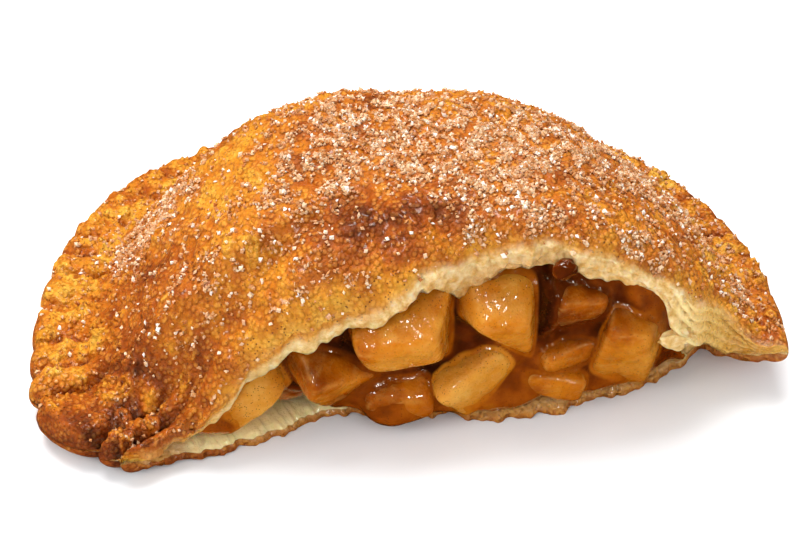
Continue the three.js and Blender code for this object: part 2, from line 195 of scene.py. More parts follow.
def front_share(angle):
    """0 round the rim, 1 where the missing front fold would be."""
    return smooth((abs(angle - 90) - 112) / 50)


def full_radius(angle):
    """The rim, closed in front by a hidden arc."""
    return mix(rim_radius(angle), HIDDEN_FRONT_RADIUS, front_share(angle))


def scallop(angle):
    """How far a crimp stands out of the rim: its lobe times a share of its height."""
    reach = 0.55 + 0.5 * smooth((angle - 178) / 10)
    return reach * crimp_height(angle) * (lobe(crimp_at(angle)) - 0.6)


def round_plan(r, angle):
    """Plan points at a distance and an angle from the plan's origin."""
    return stack([r * cos(radians(angle)), r * sin(radians(angle))], -1)


def outline(angle):
    """Plan points of the crimped rim."""
    return round_plan(full_radius(angle) + scallop(angle), angle)


def depth_at(x, y):
    """Distance in from the rim without its crimps."""
    return full_radius(angle_at(x, y)) - hypot(x, y)


def edge_depth(x, y):
    """Distance in from the crimped rim."""
    angle = angle_at(x, y)
    return full_radius(angle) + scallop(angle) - hypot(x, y)


def lift(angle):
    """How far the rim is off the table: soft steps from the left over the back to the right."""
    rim = (LIFT_LEFT + (LIFT_BACK - LIFT_LEFT) * smooth((200 - angle) / 90)
           + (LIFT_RIGHT - LIFT_BACK) * smooth((75 - angle) / 80))
    return mix(rim, LIFT_LEFT, front_share(angle))


def rounding(depth):
    """Fall of a quarter-round edge at a depth from the outline."""
    half = RIM_THICKNESS / 2
    s = clip(depth / half, 0, 1)
    return half * (1 - np.sqrt(maximum(0, 1 - (1 - s) ** 2)))


def dome_at(depth, angle):
    """Height and slope of the dome: a power curve over the flank, softened where it starts."""
    c = cos(radians(angle))
    narrower = RIM_NARROWER * smooth((130 - angle) / 90) * (1 - front_share(angle))
    flank = DOME_FLANK + where(c < 0, FLANK_EXTRA_LEFT, FLANK_EXTRA_RIGHT) * c * c + narrower
    s = clip((depth - RIM_WIDTH + narrower) / flank, 0, 1)
    started = 1 - np.exp(-s / FLANK_TOE)
    whole = 1 - FLANK_TOE * (1 - np.exp(-1 / FLANK_TOE))
    left = maximum(0, 1 - (s - FLANK_TOE * started) / whole)
    return (DOME_RISE * (1 - left ** FLANK_POWER),
            DOME_RISE * FLANK_POWER / flank * left ** (FLANK_POWER - 1) * started / whole)


def dents(x, y, depth):
    """Slow waves over the dome, gone near the rim."""
    return ((0.9 * wander(x, 0.11, 1) * wander(y, 0.13, 2) + 0.5 * wander(x + 0.6 * y, 0.29, 4))
            * smooth((depth - 8) / 14))


def plain_skin(x, y):
    """Height of the dome's skin without its rounded edge and its crimps, and the dome's slope."""
    angle, depth = angle_at(x, y), depth_at(x, y)
    height, slope = dome_at(depth, angle)
    skin = lift(angle) * (1 - smooth(depth / 34)) + RIM_THICKNESS + height + dents(x, y, depth)
    return skin, slope


def skin_at(x, y):
    """Height of the outer skin: the plain one, its rounded edge, and crimps that fade inward."""
    angle = angle_at(x, y)
    inner = 1 - smooth((depth_at(x, y) - 9) / (CRIMP_REACH - 9))
    crimp = crimp_height(angle) * (lobe(crimp_at(angle)) - 0.6) * smooth(edge_depth(x, y) / 2.4)
    return plain_skin(x, y)[0] - rounding(edge_depth(x, y)) + crimp * inner


def under_at(x, y):
    """Underside: the rim's lift, gone further in, and the rounded edge."""
    return lift(angle_at(x, y)) * (1 - smooth(depth_at(x, y) / LIFT_REACH)) + rounding(edge_depth(x, y))


def floor_at(x, y):
    """Top of the floor: its thickness above the underside, or less where the rim is thin."""
    body = skin_at(x, y) - under_at(x, y)
    return under_at(x, y) + minimum(FLOOR_THICKNESS, 0.45 * body)


def seam_depth(angle):
    """How far in the seam lies, further towards the right."""
    return SEAM_DEPTH + SEAM_DEEPER * smooth((20 - angle) / 30)


def over_edge(x, y):
    """0 at the bottom sheet's torn edge, 1 at the lip where that hangs out over it."""
    return clip((base_line(x) - y) / maximum(1, base_line(x) - lip_line(x)), 0, 1)


def roof_at(x, y):
    """Underside of the dome, its thickness taken square to the slope; towards the seam it comes
    down to the floor, but for the groove between the two sheets and where the lip hangs over."""
    skin, slope = plain_skin(x, y)
    pressed = floor_at(x, y) + minimum(GROOVE, 0.2 * (skin_at(x, y) - under_at(x, y)))
    opened = smooth((depth_at(x, y) - seam_depth(angle_at(x, y))) / SEAM_OPENS + 0.5)
    opened = maximum(opened, over_edge(x, y))
    thick = ROOF_THICKNESS + ROOF_THICKER * smooth((x - 38) / 10)
    return maximum(mix(pressed, skin - thick * hypot(1, slope), opened), pressed)


def half_height(x, y):
    """Halfway between the skin and the underside."""
    return (skin_at(x, y) + under_at(x, y)) / 2


def between_sheets(x, y):
    """Halfway between the floor and the roof, where the two sheets part."""
    return (floor_at(x, y) + roof_at(x, y)) / 2


def line_through(points):
    """Smooth y over x through the points: cubic pieces, each slope taken from its neighbours."""
    px, py = array(points, float).T
    slope = np.gradient(py, px)

    def height(x):
        k = clip(np.searchsorted(px, x) - 1, 0, len(px) - 2)
        span = px[k + 1] - px[k]
        t = clip((x - px[k]) / span, 0, 1)
        return ((2 * t ** 3 - 3 * t ** 2 + 1) * py[k] + (t ** 3 - 2 * t ** 2 + t) * span * slope[k]
                + (3 * t ** 2 - 2 * t ** 3) * py[k + 1] + (t ** 3 - t ** 2) * span * slope[k + 1])
    return height


LEFT_END = outline(LEFT_CORNER)
RIGHT_END = outline(RIGHT_TIP)
lip_line = line_through([tuple(LEFT_END), *LIP, tuple(RIGHT_END)])
base_line = line_through([tuple(LEFT_END), *BASE, tuple(RIGHT_END)])

# -------- stations along the pastry


def lifted(plan, height, up=0):
    """Plan points with the height that a function gives them, and a little up."""
    return concatenate([plan, (height(*xy(plan)) + up)[..., None]], -1)


def along(a, b, shares):
    """Points between two rows of points, one column for each share of the way."""
    return a[:, None] + (b - a)[:, None] * np.reshape(shares, (-1, 1))


def direction(a, b):
    """Unit directions from one row of points to another, and the distances."""
    span = norm(b - a)[:, None]
    return (b - a) / maximum(span, 1e-6), span


def rim_path(rim, end, t):
    """Quadratic curve from the rim, square to it, that bends to the end point."""
    inward = rim * (1 - 0.45 * norm(rim - end) / norm(rim))[:, None]
    t = np.broadcast_to(t, (len(rim), np.shape(t)[-1]))[..., None]
    return (1 - t) ** 2 * rim[:, None] + 2 * t * (1 - t) * inward[:, None] + t ** 2 * end[:, None]


def stations(u):
    """Plan positions at each share u of the length: rim, lip, bottom edge and seam. The seam is
    where the path from the rim first gets deep enough, but never close to the open edges."""
    x = mix(LEFT_END[0], RIGHT_END[0], u)
    table = linspace(RIGHT_TIP, LEFT_CORNER, 4001)
    rim = outline(np.interp(CRIMPS * (1 - u), crimp_at(table), table))
    lip, base = stack([x, lip_line(x)], 1), stack([x, base_line(x)], 1)
    end = (lip + base) / 2
    nearest = minimum(norm(rim - lip), norm(rim - base))
    shallow = minimum(1.2, nearest / 3) + abs(lip[:, 1] - base[:, 1]) / 2
    shares = linspace(0, 1, 240)
    path = xy(rim_path(rim, end, shares))
    deep = depth_at(*path) > seam_depth(angle_at(*path))
    first = where(deep.any(1), shares[deep.argmax(1)], 1)
    reach = minimum(first, maximum(0.4, 1 - shallow / norm(rim - end)))
    seam = rim_path(rim, end, reach[:, None])[:, 0]
    ends = smooth(minimum(u, 1 - u) / 0.05)
    rag = 0.4 * wander(x, 0.35, 1) + lumps(on_line(x), (0.3, 6, 11), (0.1, 2, 12))
    torn_lip = lip + stack([0 * x, ends * rag], 1)
    rag = 0.6 * wander(x, 0.5, 5) + lumps(on_line(x), (0.4, 4, 13), (0.16, 1.5, 14))
    torn_base = base + stack([0 * x, ends * rag + 1.6 * swell((x - 49.5) / 4)], 1)
    return SimpleNamespace(x=x, rim=rim, lip=lip, base=base, seam=seam, torn_lip=torn_lip,
                           torn_base=torn_base, ends=ends)


# -------- meshes


def placed(name, data):
    """New object in the scene, at the origin."""
    thing = bpy.data.objects.new(name, data)
    bpy.context.scene.collection.objects.link(thing)
    return thing


def make_mesh(name, points, faces, flat=False):
    """Piece from points in the plan, moved to the model's frame in metres."""
    mesh = bpy.data.meshes.new(name)
    faces = [corners for kind in faces for corners in kind.tolist()]
    mesh.from_pydata((points + MIDDLE) * 0.001, [], faces, shade_flat=flat)
    mesh.validate()
    return placed(name, mesh)


def ring_mesh(name, rings, first_pole, last_pole):
    """Closed piece over rows of rings of points: quads between the rows, and triangles to a pole
    point at each end."""
    rows, around, _ = rings.shape
    r = arange(rows - 1)[:, None] * around
    i = arange(around)
    j = (i + 1) % around
    quads = stack([r + i, r + around + i, r + around + j, r + j], -1).reshape(-1, 4)
    end = (rows - 1) * around
    pole = np.full(around, rows * around)
    caps = concatenate([stack([pole, i, j], 1), stack([pole + 1, end + j, end + i], 1)])
    return make_mesh(name, concatenate([rings.reshape(-1, 3), [first_pole, last_pole]]), [quads, caps])


def paint(piece, **numbers):
    """Numbers at the points, which the materials read: one for all of them, or one each, and the
    poles take the first and the last."""
    for name, values in numbers.items():
        values = np.ravel(values)
        values = np.resize(concatenate([values, values[[0, -1]]]), len(piece.data.vertices))
        layer = piece.data.attributes.new(name, "FLOAT", "POINT")
        layer.data.foreach_set("value", values.astype(np.float32))


def bands(*parts, rows=SHEET_ROWS):
    """Numbers for rows of points: how many columns each part has, and what is painted there."""
    return concatenate([np.broadcast_to(value, (rows, columns)) for columns, value in parts], 1)


def grid_normals(points):
    """Unit normals of a grid of points, from the cross product of its two directions."""
    n = np.cross(np.gradient(points, axis=0), np.gradient(points, axis=1))
    return n / maximum(norm(n), 1e-9)[..., None]


# -------- relief, browning and painted shade

BROWN_PATCHES = [      # x, y, half widths in x and y, how much darker
    (-2.4, -10.8, 13, 6, 0.24), (-13, -9, 9, 8, 0.18), (6.8, -9.6, 7, 5, 0.15),
    (-45, 3, 6, 8, 0.22), (-13, 8, 8, 7, 0.16), (30, -6, 8, 7, 0.12), (60, 6, 5, 6, 0.22),
    (64, -23, 5, 5, 0.3), (64, -12, 6, 6, 0.12), (-2, 18, 12, 6, 0.14), (23, -17, 7, 4, 0.12),
    (-53, -8, 5, 5, 0.25), (-57, 7, 4, 4, 0.16), (-39, -12, 6, 5, 0.08), (5, 44, 16, 9, 0.2),
    (-30, 40, 9, 8, 0.14), (36, 38, 10, 7, 0.16), (-52, -19, 8, 5, 0.2)]
GOLD_PATCHES = [
    (-28, 19, 10, 8, 0.11), (9.4, -14.3, 4, 3, 0.14), (33, -12, 6, 5, 0.16),
    (22, 19, 9, 6, 0.14), (-27, 0.5, 9, 8, 0.16), (-26, -13.5, 8, 4, 0.1),
    (-13, -19, 12, 4, 0.16), (-35, 13, 9, 7, 0.06), (-62, 18, 5, 8, 0.03),
    (-12, 34, 10, 6, 0.12), (22, 33, 9, 6, 0.12)]
SUGAR_PATCHES = [
    (1, 6, 20, 8, 1), (-3, -11, 8, 5, -0.6), (15, -6, 12, 8, 0.9), (28, 6, 14, 9, 0.9),
    (-2, 18, 18, 7, 0.7), (46, 26, 12, 12, 0.7), (-44, 22, 8, 8, 0.7), (40, -19, 6, 4, 0.6),
    (50, 8, 8, 12, 0.7), (61, -12, 6, 12, 0.4), (-18, -2, 10, 8, 0.3), (-37, -6, 9, 8, 0.25),
    (10, 36, 26, 8, 0.4), (-9, -16, 20, 6, 0.22), (28, -15, 14, 5, 0.4)]
# Bubbles in the skin: seed, how many, how deep in from the rim, radii, and height for the radius.
BLISTERS = [(5, 520, 0.6, 17, 0.7, 1.5, 0.5), (6, 110, 1.5, 14, 1.3, 2.3, 0.4),
            (7, 260, 17, 44, 0.8, 1.6, 0.3)]
# Along X, how far the inner layer of the lip hangs down.
LIP_HANGS = [
    (-58, 0), (-50, -0.4), (-43, -0.9), (-35, 0.4), (-28, 1.7), (-20, 2.3), (-14, 2.1),
    (-9, 0.6), (-5, 0.2), (-2, 1.6), (2, 2), (5, 3.6), (9, 7.2), (11.5, 6.6), (13.5, 4.2), (17, 3.6),
    (22, 3.2), (27, 2.4), (31, 3.4), (34, 2.4), (38, 0.6), (43, -0.4), (50, 0), (66, 0)]


def blisters(x, y, seed, count, nearest, deepest, low, high, tall):
    """Bubbles of one kind: round domes, and rings with a dimple in the middle."""
    draw = np.random.default_rng(seed)
    total = np.zeros_like(x)
    angles = draw.uniform(RIGHT_TIP + 1, LEFT_CORNER - 1, count)
    depths = draw.uniform(nearest, deepest, count)
    sizes = draw.uniform(low, high, count)
    rings = draw.uniform(size=count) < 0.45
    middles = round_plan(full_radius(angles) - depths, angles)
    for (cx, cy), size, ring in zip(middles, sizes, rings):
        near = (abs(x - cx) < size) & (abs(y - cy) < size)
        d = hypot(x[near] - cx, y[near] - cy) / size
        dome = maximum(0, 1 - d * d) ** 1.5
        crater = swell((d - 0.58) / 0.24) * (d < 1) * 1.1 - 0.3 * swell(d / 0.3)
        total[near] = maximum(total[near], size * tall * (crater if ring else dome))
    return total


def browning_and_shade(points, depth, angle):
    """How dark the skin is, 0 pale to 1 dark brown: its baking, with painted shade in the creases
    between crimps and in a band at the foot of the dome, and the crimps' crowns painted paler.
    """
    bake = 0.4 + patches(*xy(points), BROWN_PATCHES) - patches(*xy(points), GOLD_PATCHES)
    rim = 1 - smooth((depth - 10) / 6)
    # crimps paler on their crowns and darker in the creases between them, as painted highlight and painted
    # shade; the very edge browner
    bake += rim * (0.17 - 0.28 * lobe(crimp_at(angle))) + 0.1 * smooth((3 - depth) / 3)
    # painted shade: a darker band along the groove at the foot of the dome
    bake += 0.14 * swell((depth - 17) / 3.5) * (0.4 + 0.6 * smooth((angle - 120) / 50))
    bake += 0.3 * smooth((angle - 183) / 10) * smooth((16 - depth) / 8)
    return bake + lumps(points, (0.1, 9, 31), (0.07, 4, 32))


# -------- crust


def sheet_plan(rim, line, torn, near, far_count):
    """Plan of a sheet from the rim to its torn edge, and the distances from that edge: rows at
    given distances from the rim first, then even steps."""
    length = norm(rim - line)
    close = near * (minimum(1, length / 26) / (0.95 * length))[:, None]
    far = linspace(0, 1, far_count + 1)[1:]
    shares = concatenate([close, mix(close[:, -1:], 1, far)], 1)
    to_edge = (1 - shares) * length[:, None]
    shift = (torn - line)[:, None] * swell(to_edge / 2.5)[..., None]
    return rim_path(rim, line, shares) + shift, to_edge


def end_point(plan, up):
    """Point halfway up the rim at one of the pastry's two ends."""
    return array([*plan, half_height(*plan) + up])


def crust_top(name):
    """Upper sheet: its rings run over the skin from the lip to the rim, back inside the rim to
    the seam, under the roof to the lip and up the torn face."""
    s = stations(SHEET_SHARES)
    x, ends = s.x[:, None], s.ends[:, None]
    edge = RIM_THICKNESS / 2 * (1 - cos(linspace(0.08, 0.5, 6) * pi))
    near = concatenate([[0], edge, arange(1, 31) * 0.56 + edge[-1]])
    plan, to_lip = sheet_plan(s.rim, s.lip, s.torn_lip, near, 96)
    skin = lifted(plan, skin_at)
    depth, angle = depth_at(*xy(plan)), angle_at(*xy(plan))
    rim_zone = 1 - smooth((depth - 13) / 6)
    bubbles = sum(blisters(*xy(plan), *kind) for kind in BLISTERS)
    relief = (0.3 * uneven(skin, 8, 21) * smooth(depth / 12) + 0.2 * uneven(skin, 3.6, 22)
              + (0.1 + 0.1 * rim_zone) * uneven(skin, 1.8, 23) + bubbles
              - 0.7 * swell((depth - 17.5) / 2.6) * smooth((angle - 140) / 30) - 0.9 * swell(to_lip / 1.3))
    relief *= smooth(edge_depth(*xy(plan)) / 1.2) * ends ** 0.5
    normal = grid_normals(skin)
    skin += normal * np.sign(normal[..., 2].mean()) * relief[..., None]
    # all of these now run from the lip to the rim
    skin, to_lip, depth, angle, bubbles = (rows[:, ::-1] for rows in (skin, to_lip, depth, angle, bubbles))

    inward, reach = direction(s.rim, s.seam)
    inside = [concatenate([s.rim + inward * minimum(far, 0.3 * reach), skin[:, -1, 2:] + up], 1)
              for far, up in ((0.39, 0.1), (0.91, 0.12))]
    hidden = stack([*inside, lifted(s.rim + inward * 0.97 * reach, between_sheets, 0.05)], 1)
    outward, span = direction(s.seam, s.torn_lip)
    first = s.torn_lip - outward * minimum(0.2 * span, 1)
    roof = lifted(concatenate([along(s.lip, s.seam, [0.93, 0.8, 0.6, 0.42, 0.28, 0.16, 0.08]),
                               first[:, None]], 1), roof_at)
    roof[..., 2] += 0.15 * uneven(roof, 3, 24) - 0.05

    # the torn face: soft crumb that bulges, ragged along its lower edge
    line = on_line(s.x)
    gate = clip(0.25 + 0.9 * uneven(line, 11, 31), 0, 1)
    hang = (0.3 * uneven(line, 9, 25) + line_through(LIP_HANGS)(s.x)
            + gate * lumps(line, (0.42, 3, 29), (0.26, 1.4, 30)))
    back = 0.35 * uneven(line, 5, 35) + 1.5 * swell((s.x - 11) / 7.5)
    roof[:, -1] -= concatenate([outward * back[:, None], (hang * s.ends)[:, None]], 1)
    w = linspace(0, 1, 16)[1:-1]
    face = along(roof[:, -1], skin[:, 0], w)
    middle_part = smooth((x + 12) / 10) * smooth((48 - x) / 8)
    bulge = (mix(0.15, 0.5, middle_part) * sin(pi * w) + mix(0.1, 0.32, middle_part) * uneven(face, 3, 26)
             + mix(0.06, 0.2, middle_part) * uneven(face, 1.3, 27))
    # parted layers towards the right, and a curl of dough where they end
    leaves = 1 + 1.3 * smooth((x - 22) / 8) + 1.6 * smooth((x - 43) / 6)
    crease = abs(sin(pi * (leaves * w + 0.18 * wander(x, 0.3, 3)))) ** 0.5
    bulge += (0.5 * smooth((x - 22) / 8) + 0.6 * smooth((x - 43) / 6)) * (crease - 0.7)
    bulge += 2.4 * swell((w - 0.12) / 0.16) * swell((x - 47.5) / 3.5)
    face[..., :2] += outward[:, None] * (bulge * ends)[..., None]
    piece = ring_mesh(name, concatenate([skin, hidden, roof, face], 1),
                      end_point(LEFT_END, 0.05), end_point(RIGHT_END, 0.05))

    n, m, k = skin.shape[1], hidden.shape[1] + roof.shape[1], len(w)
    # paler by the lip; the blisters paler on their domes and darker in their dimples, as painted highlight
    # and painted shade
    bake = (browning_and_shade(skin, depth, angle) - 0.17 * swell(to_lip / 2.4)
            - 0.45 * clip(bubbles - 0.12, -0.2, 0.6))
    face_bake = (0.1 + 0.3 * smooth((-38 - x) / 8) + 0.12 * smooth((x - 52) / 8)
                 + 0.2 * smooth((w - 0.2) / 0.8) * smooth((-6 - x) / 8)
                 + 0.28 * swell((x - 13) / 9) - 0.12 * smooth((x - 42) / 6))
    skin_torn = swell(to_lip / 0.55) * (1 - 0.9 * smooth((-4 - x) / 8))
    face_torn = ((1 - 0.95 * smooth((w - 0.35) / 0.5) * smooth((-6 - x) / 8))
                 * (1 - 0.75 * (1 - crease) * smooth((x - 40) / 6))
                 * (1 - 0.62 * swell((x - 12) / 8) * (1 - w)) * (1 - 0.3 * swell((x - 30) / 10)))
    fades = (mix(0.3, 1, smooth((x + 42) / 8)) * smooth((x + 54) / 4)
             * mix(0.3, 1, smooth((54 - x) / 9)) * smooth((69.5 - x) / 4))
    sweet = clip(patches(*xy(skin), SUGAR_PATCHES), 0, 1.2)
    sweet = clip(sweet * (0.75 + 0.5 * uneven(skin, 7, 28)), 0, 1) * smooth(to_lip / 2)
    damp = smooth((-16 - x) / 14) + 0.85 * swell((x - 17) / 14)
    paint(piece, bake=bands((n, bake), (2, 0.75), (m - 2, 0.1), (k, face_bake)),
          torn=bands((n, skin_torn), (2, 0), (m - 2, 1), (k, face_torn)) * fades,
          sugar=bands((n, sweet), (m + k, 0)),
          wet=bands((n, 0), (m, 0.2 + 0.75 * minimum(damp, 1)), (k, damp * (1 - 0.7 * w))))
    return piece, skin, sweet, depth


def crust_bottom(name):
    """Lower sheet: its rings run from the torn edge over the floor to the seam, inside the rim,
    and back under the pastry."""
    s = stations(SHEET_SHARES)
    ends = s.ends[:, None]
    inward, reach = direction(s.rim, s.seam)
    outward, span = direction(s.seam, s.torn_base)
    first = s.torn_base - outward * minimum(0.2 * span, 0.7)
    floor = lifted(along(first, s.seam, [0, 0.03, 0.06, 0.1, 0.14, 0.19, 0.25, 0.32, 0.42, 0.55,
                                         0.75, 0.9]), floor_at)
    floor[..., 2] -= 1.35 * swell(norm(floor[..., :2] - s.torn_base[:, None]) / 2.4) * ends
    x, y = xy(floor)
    ripple = 0.16 * sin(2 * pi * (y + 0.18 * x + 0.5 * wander(x, 0.3, 6)) / 1.15)
    floor[..., 2] += 0.12 * uneven(floor, 3.5, 41) + ripple * smooth((-8 - x) / 10) - 0.05
    at_seam = lifted(s.rim + inward * 0.97 * reach, between_sheets, -0.05)
    edge = lifted(s.rim, half_height, -0.06)
    near_rim = concatenate([s.rim + inward * minimum(0.6, 0.2 * reach), edge[:, 2:] - 0.08], 1)
    near = concatenate([RIM_THICKNESS / 2 * (1 - cos(linspace(0.1, 0.5, 7) * pi)),
                        3.1 + arange(1, 11) * 1.2])
    plan, _ = sheet_plan(s.rim, s.base, s.torn_base, near, 22)
    under = lifted(plan, under_at)
    ridge = maximum(0, lumps(under, (0.25, 5, 42), (0.15, 2.2, 43)))
    under[..., 2] += ridge * smooth(edge_depth(*xy(plan)) / 3) * ends
    w = linspace(0, 1, 9)[1:-1]
    face = along(under[:, -1], floor[:, 0], w)
    bulge = 0.2 * sin(pi * w) - 0.2 + lumps(face, (0.28, 2.4, 44), (0.16, 1, 45))
    face[..., :2] += outward[:, None] * (bulge * ends)[..., None]
    rings = concatenate([floor, stack([at_seam, near_rim, edge], 1), under, face], 1)
    piece = ring_mesh(name, rings, end_point(LEFT_END, -0.05), end_point(RIGHT_END, -0.05))

    # sauce has turned the sheet amber where it lies under the fruit and at the left corner; elsewhere the
    # floor's bake is 0, which the finish paints paler as painted light
    x = s.x[:, None]
    soaked = smooth((x + 10) / 8) * smooth((52 - x) / 6) + 0.8 * smooth((-40 - x) / 8)
    crisp = smooth((-30 - x) / 8) + 0.5 * smooth((x - 50) / 5)
    n, m, k = floor.shape[1], under.shape[1], len(w)
    baked = 0.8 * browning_and_shade(under, depth_at(*xy(plan)), angle_at(*xy(plan))) + 0.14
    face_bake, face_torn = mix(0.5, 0.26, w) + 0.3 * crisp, mix(0.1, 0.35, w) * (1 - 0.8 * crisp)
    paint(piece, bake=bands((n, 0.38 * soaked), (1, 0), (2, 0.7), (m, baked), (k, face_bake)),
          torn=bands((n, 1 - 0.55 * soaked), (1, 1), (m + 2, 0), (k, face_torn)),
          wet=bands((n, 1), (m + 3, 0), (k, 0.95)))
    return piece


# -------- fruit

# Centre, half sizes, turns about X, Y and Z in degrees, taper towards +X, and how dark it is.
CHUNKS = [
    ((-2, -15.7, 20.1), (9.6, 8, 8.1), (24, -14, -8), 0.06, 0.3),
    ((14.3, -15.4, 20.6), (8.1, 7.4, 8.9), (20, 18, 8), -0.34, 0.34),
    ((39.3, -16.3, 12), (6.3, 7, 8.5), (14, 14, -14), 0.06, 0.3),
    ((-17, -14.4, 11.6), (7.8, 6.4, 6.4), (20, 16, 12), 0.15, 0.5),
    ((9.4, -18.2, 10.1), (7.2, 4.8, 4.2), (6, -42, 6), 0.2, 0.06),
    ((-4.6, -17, 7.4), (6.6, 6.2, 4), (6, 2, 0), -0.1, 0.46),
    ((-31.4, -15.4, 9.6), (8, 4, 3.9), (0, -42, 10), -0.22, 0.14),
    ((29, -14, 20.8), (5.2, 6.4, 6.4), (14, 6, -6), 0.1, 0.66),
    ((27.2, -16.6, 12.3), (6.4, 4.8, 3.1), (8, -8, 8), 0.1, 0.42),
    ((23.8, -19, 6.9), (6.2, 4.6, 3), (4, 12, -4), -0.1, 0.4),
]
# Slanted cuts on some chunks: direction in the plan and distance from the chunk's middle.
CUTS = {
    1: [(0.05, -0.45, -0.89, 6.7), (0.9, -0.4, 0, 7.4), (-0.75, -0.25, -0.6, 10.2)],
    2: [(-0.64, -0.3, -0.7, 3.8), (0.95, -0.3, 0, 6.9)], 3: [(0.8, -0.6, 0, 6.2)],
    4: [(-0.78, -0.2, -0.6, 5)], 5: [(0, 0.2, 1, 7.5)], 6: [(0.1, -0.6, 0.8, 4.9)],
    7: [(0.4, -0.8, 0.5, 4.6)], 8: [(0, -0.72, -0.7, 5.4)]}
FAR_CUT = [(0, 1, 0, 20)]                # one that misses the chunk
# Painted shade on some chunks, mostly under the lip: x, z, half widths and how much.
SHADE_PATCHES = {1: [(-12, 21, 3, 7, 0.7)], 3: [(33.5, 20, 4.5, 5, 1)], 4: [(-21, 17, 6, 3, 0.4)],
          10: [(28, 5, 4, 3, 0.5)]}
# How sharp the edges between a chunk's cut faces are; some chunks are softer.
EDGE_SHARPNESS = 9
SOFTER_CHUNKS = {5: 6.5, 6: 4.5, 7: 6, 9: 5, 10: 4.5}


def turned(turn):
    """Turning matrix of three turns taken about X, then Y, then Z of the piece itself."""
    return array(Euler(radians(turn), "ZYX").to_matrix())


def chunk_planes(number):
    """Cut faces of a chunk: outward directions and distances, the box's faces slanted a little
    and the chunk's own cuts, whose directions are given in the plan."""
    _, half, turn, taper, _ = CHUNKS[number - 1]
    reach = np.repeat(array(half, float), 2)
    ways = np.repeat(np.eye(3), 2, axis=0) * array([[1], [-1]] * 3)
    ways[2:, 0] += taper * reach[2:] / half[0]
    ways += np.random.default_rng(100 + number).normal(scale=0.04, size=ways.shape)
    cuts = array(CUTS.get(number, FAR_CUT), float)
    ways = concatenate([ways, cuts[:, :3] @ turned(turn)])
    return ways / norm(ways)[:, None], concatenate([reach, cuts[:, 3]])


def chunk_radius(number, ways):
    """Distance from the middle of a chunk to its surface each way: cut planes joined by a power
    mean, which rounds the edges between them."""
    planes, reach = chunk_planes(number)
    sharpness = SOFTER_CHUNKS.get(number, EDGE_SHARPNESS)
    return ((maximum(0, ways @ planes.T) / reach) ** sharpness).sum(-1) ** (-1 / sharpness)


def above_chunk(p, number):
    """How far points lie outside a chunk, along the line from its middle."""
    at, _, turn, _, _ = CHUNKS[number - 1]
    q = (p - array(at)) @ turned(turn)
    r = norm(q)
    return r - chunk_radius(number, q / maximum(r, 1e-6)[..., None])


def ball(name, surface, rows, around):
    """Closed piece from a function that gives the surface's point each way, on a grid of latitude
    and longitude round X. Gives back the grid's ways and points too."""
    tilt = pi * (arange(1, rows) / rows - 0.5)[:, None]
    spin = -2 * pi * arange(around) / around
    ways = stack([sin(tilt) + 0 * spin, cos(tilt) * cos(spin), cos(tilt) * sin(spin)], -1)
    rings = surface(ways)
    return ring_mesh(name, rings, *surface(array([[-1, 0, 0], [1, 0, 0]]))), ways, rings


def chunk(name, number):
    """Piece of cut fruit: the chunk's radius each way, made a little lumpy. It is painted darker
    where it meets the sauce and the other chunks, partly as sauce soaking in and partly as painted
    shade, and in patches of painted shade; and with where its edges are, which the finish paints
    paler as painted highlight."""
    at, _, turn, _, _ = CHUNKS[number - 1]

    def surface(ways):
        radius = chunk_radius(number, ways) * (
            1 + lumps(ways, (0.028, 1.1, 50 + number), (0.008, 0.4, 70 + number)))
        return (ways * radius[..., None]) @ turned(turn).T + array(at)

    piece, ways, rings = ball(name, surface, 96, 128)
    x, z = rings[..., 0], rings[..., 2]
    outside = sauce_field(rings, sauce_front(x, clip(z / 32, 0, 1)), number)
    planes, reach = chunk_planes(number)
    nearest = np.sort(ways @ planes.T / reach, -1)
    # darker where it meets the sauce and the other chunks, partly sauce soaking in and partly painted
    # shade, plus patches of painted shade
    paint(piece, soaked=swell(maximum(outside, 0) / 1.9) + patches(x, z, SHADE_PATCHES.get(number, [])),
          edge=smooth((nearest[..., -2] / nearest[..., -1] - 0.82) / 0.18))
    return piece


def lump(name, at, half, lumpy, **numbers):
    """Small ball: half sizes each way and lumps of two sizes, painted with the same numbers all
    over."""
    def surface(ways):
        return array(at) + ways * array(half) * (
            1 + lumps(ways, (0.12, 1.6, 61), (lumpy, 0.7, 62)))[..., None]

    piece, _, _ = ball(name, surface, 48, 64)
    paint(piece, **numbers)
    return piece


# -------- sauce

# Pools and drips of sauce beside the fruit: centre and half sizes.
SAUCE_POOLS = [
    ((-5.6, -19.6, 4.6), (4.8, 3.4, 3.8)), ((4.5, -18.6, 4.4), (4, 2.6, 2.6)),
    ((14.5, -19.6, 4.6), (7, 3.4, 2.8)), ((31, -18.4, 4.6), (7, 3, 2.6)),
    ((-12, -15.4, 8), (6, 3.4, 4.4)), ((-24, -12.6, 8), (5, 3, 4.2)),
    ((22.8, -17.8, 23.6), (1.1, 2.4, 6.4)),
    ((19.5, -16.6, 11), (5, 3, 3.4)), ((31.5, -15, 15), (3, 2.6, 5.6)),
    ((47.5, -14.6, 7.5), (5, 3, 5.5)), ((-40, -18.6, 4.6), (5, 2.4, 1.8))]
SAUCE_SPILLS = [(-4.6, 8.2), (12, 9), (27, 7)]      # middle and half width along the bottom edge
SAUCE_BLEND = 3.6
CHUNK_PROUD = 0.6                                   # the fruit stands out of the sauce by this


def sauce_front(x, share):
    """Where the sauce between the chunks stands back behind the torn edges."""
    back = (mix(1.6 + 8 * swell((x + 27) / 7.5), 5, share) + 2.5 * swell((x - 27) / 9)
            - sin(pi * share) + 0.7 * wander(x + 9 * share, 0.42, 3)
            + 6 * swell((x - 8.5) / 2.6) * swell((share - 0.8) / 0.12)
            + 5.5 * swell((x - 15) / 5.5) * swell((share - 1) / 0.25))
    return mix(base_line(x), lip_line(x), share) + back


